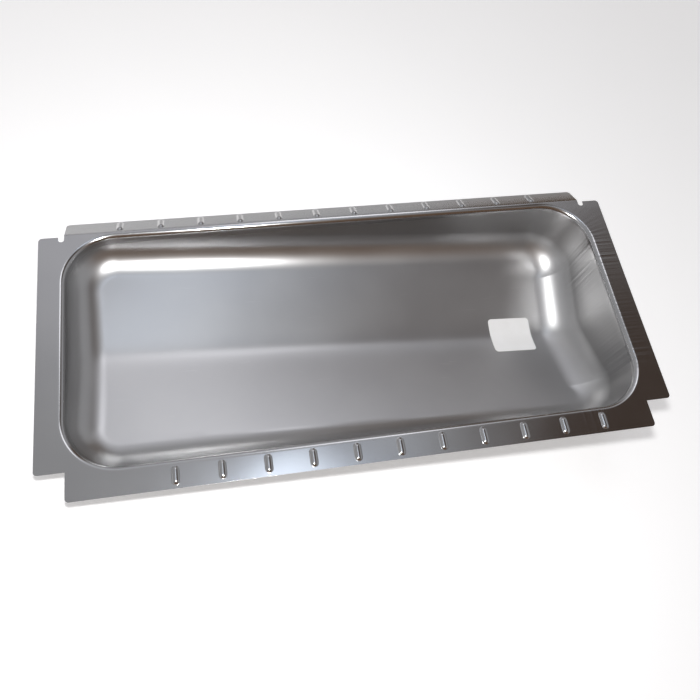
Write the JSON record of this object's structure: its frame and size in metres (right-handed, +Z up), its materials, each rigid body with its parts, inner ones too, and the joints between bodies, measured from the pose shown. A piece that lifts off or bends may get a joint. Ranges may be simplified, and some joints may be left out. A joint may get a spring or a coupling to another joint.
{
  "type": "oil drain pan",
  "caption": "Deep-drawn sheet-steel oil drain pan that hangs by its flange, with stiffening beads, a valley floor sloping to one end and a blank label.",
  "frame": {"origin": "middle of the side flanges in plan, on the underside plane of the flange, which the pan hangs by", "axes": "+X along the pan towards its deep end, +Y across it towards the folded rear lip, +Z up out of the opening"},
  "size_m": [0.741, 0.3558, 0.1193],
  "materials": {
    "pressed_steel": "satin cold-rolled sheet with draw marks",
    "label_stock": "smooth blank adhesive label"
  },
  "bodies": {
    "root": {"pan_pressing": "pressed_steel", "blank_label": "label_stock"}
  },
  "joints": []
}
